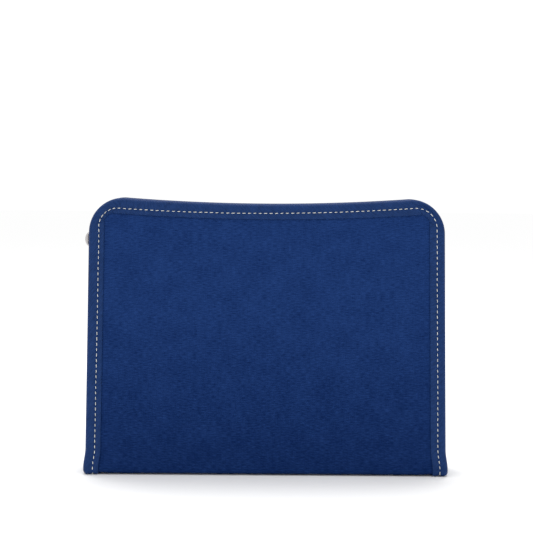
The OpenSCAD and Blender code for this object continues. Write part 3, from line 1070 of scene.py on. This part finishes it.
def seam_row(name, side, depth, ends, body, pitch=2.6 * MM):
    """A row of small stitches between pairs of points on the inner side of a cover."""
    stitch = bead(pitch * 0.7, 0.42 * MM, 0.35 * MM, 6, 4)
    places = []
    for (left, low), (right, high) in ends:
        start, end = Vector((left, low)), Vector((right, high))
        count = int((end - start).length / pitch)
        for i in range(count):
            x, up = start + (end - start) * ((i + 0.5) / count)
            along = (cover_point(*end, 0) - cover_point(*start, 0)).normalized()
            places.append(placed(cover_point(x, up, -depth), along, (-OUT).cross(along), -OUT))
    seam = repeat(name, stitch, [mirrored_place(place, side) for place in places])
    scrap(stitch)
    return finish_piece(seam, finish_of("navy_thread"), body, "pocket_cloth")


class ORGANIZER_OT_pockets(bpy.types.Operator):
    """Sew the ticket, passport, card and slip pockets"""

    bl_idname = "organizer.make_pockets"
    bl_label = "Pockets"

    def execute(self, context):
        cloth = finish_of("pocket_weave")
        step = 0.75 * MM
        card_depth = 4.2 * MM
        pockets = [
            ("ticket_pocket", "back", 3.5 * MM), ("passport_pocket", "back", 4.3 * MM),
            ("slip_pocket", "front", 3.6 * MM),
        ]
        pockets += [(f"card_pocket_{tier}", "back", card_depth + (4 - tier) * step)
                    for tier in range(1, 5)]
        for seed, (name, body, depth) in enumerate(pockets):
            side = SIDES[body]
            low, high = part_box(name)
            bottom, mouth = up_cover(low.z, depth), up_cover(high.z, depth)
            piece = pocket_piece(f"{name}_cloth", side, depth, low.x, high.x, bottom, mouth, seed)
            finish_piece(piece, cloth, body, "pocket_cloth", name)
            edge_in, hem = 2 * MM, 4.7 * MM
            lines = [((low.x + edge_in, bottom + edge_in), (low.x + edge_in, mouth - 1 * MM)),
                     ((high.x - edge_in, bottom + edge_in), (high.x - edge_in, mouth - 1 * MM)),
                     ((low.x + 3 * MM, mouth - hem), (high.x - 3 * MM, mouth - hem)),
                     ((low.x + edge_in, bottom + edge_in), (high.x - edge_in, bottom + edge_in))]
            seam_row(f"{name}_seam", side, depth + 0.62 * MM, lines, body)
        return {"FINISHED"}


class ORGANIZER_OT_coin_zip(bpy.types.Operator):
    """Sew the zipped coin pocket, with its coil, slider and puller"""

    bl_idname = "organizer.make_coin_zip"
    bl_label = "Coin pocket"

    def execute(self, context):
        nickel = finish_of("nickel_plate")
        low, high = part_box("coin_pocket_panel")
        tape_low, tape_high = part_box("coin_zip_tape")
        coil_low, coil_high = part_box("coin_zip_coil")
        axis = Vector(JOINTS["coin_slider_travel"]["axis"])
        pivot = Vector(JOINTS["coin_puller_swing"]["pos_m"])
        zip_up = (pivot - Vector((0, FOLD_Y, FOLD_Z))).dot(UP)
        depth, tape_depth, coil_depth, seam_depth = 3.6 * MM, 4.3 * MM, 4.8 * MM, 4.85 * MM
        foot, top = up_cover(low.z, depth), up_cover(high.z, depth)
        slot = 3 * MM
        lower = pocket_piece("lower", 1, depth, low.x, high.x, foot, zip_up - slot, 21, 2.4 * MM)
        upper = pocket_piece("upper", 1, depth, low.x, high.x, zip_up + slot, top, 22,
                             open_top=False)
        panel = finish_piece(weld("coin_pocket_cloth", lower, upper), finish_of("pocket_weave"),
                             "front", "pocket_cloth", "coin_pocket_panel")
        lines = [((low.x + 2 * MM, foot + 2 * MM), (low.x + 2 * MM, top - 2 * MM)),
                 ((high.x - 2 * MM, foot + 2 * MM), (high.x - 2 * MM, top - 2 * MM)),
                 ((low.x + 2 * MM, foot + 2 * MM), (high.x - 2 * MM, foot + 2 * MM)),
                 ((low.x + 2 * MM, top - 2 * MM), (high.x - 2 * MM, top - 2 * MM))]
        seam_row("coin_pocket_seam", 1, depth + 0.62 * MM, lines, "front")

        strips = []
        for side in (-1, 1):
            inner, outer = sorted((zip_up + side * 1.7 * MM, zip_up + side * 8.3 * MM))

            def strip_point(u, v, inner=inner, outer=outer):
                x, up = mix(tape_low.x, tape_high.x, u), mix(inner, outer, v)
                out = -tape_depth + 0.05 * MM * ripple(x, up, 9 * MM, 31)
                return cover_point(x, up, out), (x, up)

            strips.append(lay_cloth("strip", 120, 6, strip_point, 0.4 * MM))
        finish_piece(weld("coin_woven_tape", *strips), finish_of("zip_tape_weave"), "front",
                     "zip_tape", "coin_zip_tape")

        turn_of_coil = bead(1.75 * MM, 0.6 * MM, 1.05 * MM, 6, 5)
        pitch = 1.05 * MM
        count = int((coil_high.x - coil_low.x) / pitch)
        places = []
        for i in range(count):
            for side in (-1, 1):
                x = coil_low.x + pitch * (i + 0.5 + side * 0.25)
                up = zip_up + side * 0.82 * MM
                across = UP * side
                here = cover_point(x, up, -coil_depth)
                places.append(placed(here, across, (-OUT).cross(across), -OUT))
        coil = repeat("coin_coil_turns", turn_of_coil, places)
        scrap(turn_of_coil)
        finish_piece(coil, finish_of("nylon_coil"), "front", "zip_coil", "coin_zip_coil")
        rows = [((tape_low.x + 1 * MM, zip_up + side * 6.5 * MM),
                 (tape_high.x - 1 * MM, zip_up + side * 6.5 * MM)) for side in (-1, 1)]
        seam_row("coin_zip_seam", 1, seam_depth, rows, "front", 2.2 * MM)

        # Slider, with X along the zip, Y up the cover and Z out of the lining
        at = placed(pivot, axis, UP, -OUT) @ Matrix.Translation((1.2 * MM, 0, -7.05 * MM))
        shape = rounded([(-4 * MM, -2.0 * MM), (-2 * MM, -2.7 * MM), (2 * MM, -2.7 * MM),
                         (4 * MM, -1.8 * MM), (4 * MM, 1.8 * MM), (2 * MM, 2.7 * MM),
                         (-2 * MM, 2.7 * MM), (-4 * MM, 2.0 * MM)], 0.6 * MM)
        top_plate = plate("top", [shape], 0.7 * MM, 0.2 * MM)
        top_plate.data.transform(Matrix.Translation((0, 0, 5.75 * MM)))
        under = plate("under", [shape], 0.35 * MM, 0.1 * MM)
        under.data.transform(Matrix.Translation((0, 0, 3.78 * MM)))
        post = soft_slab("post", (-3.4 * MM, -0.18 * MM, 3.8 * MM), (-1 * MM, 0.18 * MM, 5.6 * MM),
                         0.08 * MM)
        casting = weld("coin_slider_casting", top_plate, under, post)
        casting.data.transform(at)
        finish_piece(casting, nickel, "coin_slider", "slider_metal", "coin_slider_body")
        bridge = rod("bridge", [(-2.8 * MM, 0, 6 * MM), (-2.6 * MM, 0, 7.3 * MM),
                                (-1.9 * MM, 0, 7.85 * MM), (1.9 * MM, 0, 7.85 * MM),
                                (2.6 * MM, 0, 7.3 * MM), (2.8 * MM, 0, 6 * MM)], 0.42 * MM, 1.7)
        bridge.name = "coin_slider_bridge"
        bridge.data.transform(at)
        finish_piece(bridge, nickel, "coin_slider", "slider_metal", "coin_slider_crown")
        half, tip = 2 * MM, -12 * MM
        shape = [(0.5 * MM, -half), (0.5 * MM, half)]
        shape += [(tip + half - half * math.sin(turn), half * math.cos(turn))
                  for turn in (math.pi * i / 16 for i in range(17))]
        window = rounded([(-5.6 * MM, -1.1 * MM), (-0.45 * MM, -1.1 * MM), (-0.45 * MM, 1.1 * MM),
                          (-5.6 * MM, 1.1 * MM)], 0.5 * MM)
        blade = plate("blade", [shape, window], 0.8 * MM, 0.18 * MM)
        pin = rod("pin", [(0, -1.95 * MM, 0), (0, 1.95 * MM, 0)], 0.45 * MM)
        puller = weld("coin_zip_pull", blade, pin)
        puller.data.transform(at @ Matrix.Translation((-1.2 * MM, 0, 7.05 * MM)))
        finish_piece(puller, nickel, "coin_puller", "slider_metal", "coin_puller")
        return {"FINISHED"}


class ORGANIZER_OT_pen_loop(bpy.types.Operator):
    """Roll the elastic pen loop along the spine"""

    bl_idname = "organizer.make_pen_loop"
    bl_label = "Pen loop"

    def execute(self, context):
        low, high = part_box("pen_loop")
        radius = (high.z - low.z - 0.01 * MM) / 2
        centre = high.z - radius
        turn_length = 2 * math.pi * radius

        def place(u, v):
            x = mix(low.x, high.x, u)
            angle = 2 * math.pi * v
            rib = 0.06 * MM * math.cos(2 * math.pi * x / (1.1 * MM))
            out = radius - 0.1 * MM + rib
            return (Vector((x, out * math.sin(angle), centre - out * math.cos(angle))),
                    (x, turn_length * v))

        loop = lay_cloth("loop", 160, 40, place, closed=True)
        add_wall(loop, 0.5 * MM)
        shade(loop)
        feet = soft_slab("feet", (low.x, low.y, SPINE_TOP), (high.x, high.y, SPINE_TOP + 0.6 * MM),
                         0.2 * MM)
        finish_piece(weld("pen_loop_elastic", loop, feet), finish_of("loop_elastic"), "spine",
                     "elastic", "pen_loop")
        return {"FINISHED"}


def aim(thing, target, roll=0.0):
    turn = (Vector(target) - thing.location).to_track_quat("-Z", "Y").to_matrix()
    thing.rotation_euler = (turn @ Matrix.Rotation(roll, 3, "Z")).to_euler()


def soft_light(name, place, target, size, power):
    data = bpy.data.lights.new(name, "AREA")
    data.shape = "RECTANGLE"
    data.size, data.size_y = size
    data.energy = power
    lamp = bpy.data.objects.new(name, data)
    bpy.context.collection.objects.link(lamp)
    lamp.location = place
    aim(lamp, target)


class ORGANIZER_OT_stage(bpy.types.Operator):
    """Set the white floor, the soft studio light and the camera"""

    bl_idname = "organizer.make_stage"
    bl_label = "Stage"

    def execute(self, context):
        scene = context.scene
        deselect()
        bpy.ops.mesh.primitive_plane_add(size=12, location=(0, 0, 0))
        floor = active()
        floor.name = "floor"
        white, shader = new_material("white_floor", (0.95, 0.95, 0.95), Roughness=0.9,
                                     Specular_IOR_Level=0.0)
        grain = new_node(white, "TexNoise", {"Scale": 400.0})
        relief(white, shader, grain.outputs["Fac"], 0.01 * MM)
        floor.data.materials.append(white)

        world = bpy.data.worlds.new("studio")
        world.use_nodes = True
        sky = world.node_tree.nodes["Background"]
        sky.inputs["Color"].default_value = (1, 1, 1, 1)
        sky.inputs["Strength"].default_value = 1.04
        scene.world = world
        soft_light("key_light", (-0.1, 0.38, 1.25), (0, 0, 0.1), (0.9, 0.5), 8.5)
        soft_light("strip_light", (0, -0.15, 0.42), (0, 0, 0.13), (0.5, 0.06), 0.14)
        scene.view_settings.view_transform = "Standard"

        lens, sensor = 90, 36
        view_width, rise, right = 0.3446, 46.1 * MM, -0.15 * MM
        elevation = math.radians(4)
        distance = view_width / sensor * lens
        data = bpy.data.cameras.new("camera")
        data.lens, data.sensor_width = lens, sensor
        camera = bpy.data.objects.new("camera", data)
        context.collection.objects.link(camera)
        target = Vector((right, -12 * MM, HEIGHT / 2 + rise))
        back = Vector((0, -math.cos(elevation), math.sin(elevation)))
        camera.location = target + back * distance
        aim(camera, target, math.radians(0.37))
        scene.camera = camera
        return {"FINISHED"}


STEPS = (
    "make_stage", "make_canvas", "make_binding", "make_topstitching", "make_zip", "make_slider",
    "make_pockets", "make_coin_zip", "make_pen_loop",
)


class ORGANIZER_PT_panel(bpy.types.Panel):
    """The organizer's sizes and colours, and the steps that make it"""

    bl_idname = "ORGANIZER_PT_panel"
    bl_label = "Travel Document Organizer"
    bl_space_type = "VIEW_3D"
    bl_region_type = "UI"
    bl_category = "Organizer"

    def draw(self, context):
        for group in (context.scene.organizer_sizes, context.scene.organizer_colours):
            for name in group.__annotations__:
                self.layout.prop(group, name)
        for step in STEPS:
            self.layout.operator(f"organizer.{step}")


CLASSES = (
    OrganizerColours, OrganizerSizes, ORGANIZER_OT_stage, ORGANIZER_OT_canvas,
    ORGANIZER_OT_binding, ORGANIZER_OT_topstitching, ORGANIZER_OT_zip, ORGANIZER_OT_slider,
    ORGANIZER_OT_pockets, ORGANIZER_OT_coin_zip, ORGANIZER_OT_pen_loop, ORGANIZER_PT_panel,
)


def register():
    for made in CLASSES:
        bpy.utils.register_class(made)
    bpy.types.Scene.organizer_colours = PointerProperty(type=OrganizerColours)
    bpy.types.Scene.organizer_sizes = PointerProperty(type=OrganizerSizes)


def unregister():
    del bpy.types.Scene.organizer_sizes
    del bpy.types.Scene.organizer_colours
    for made in reversed(CLASSES):
        bpy.utils.unregister_class(made)


def main():
    register()
    for step in STEPS:
        getattr(bpy.ops.organizer, step)()


if __name__ == "__main__":
    main()
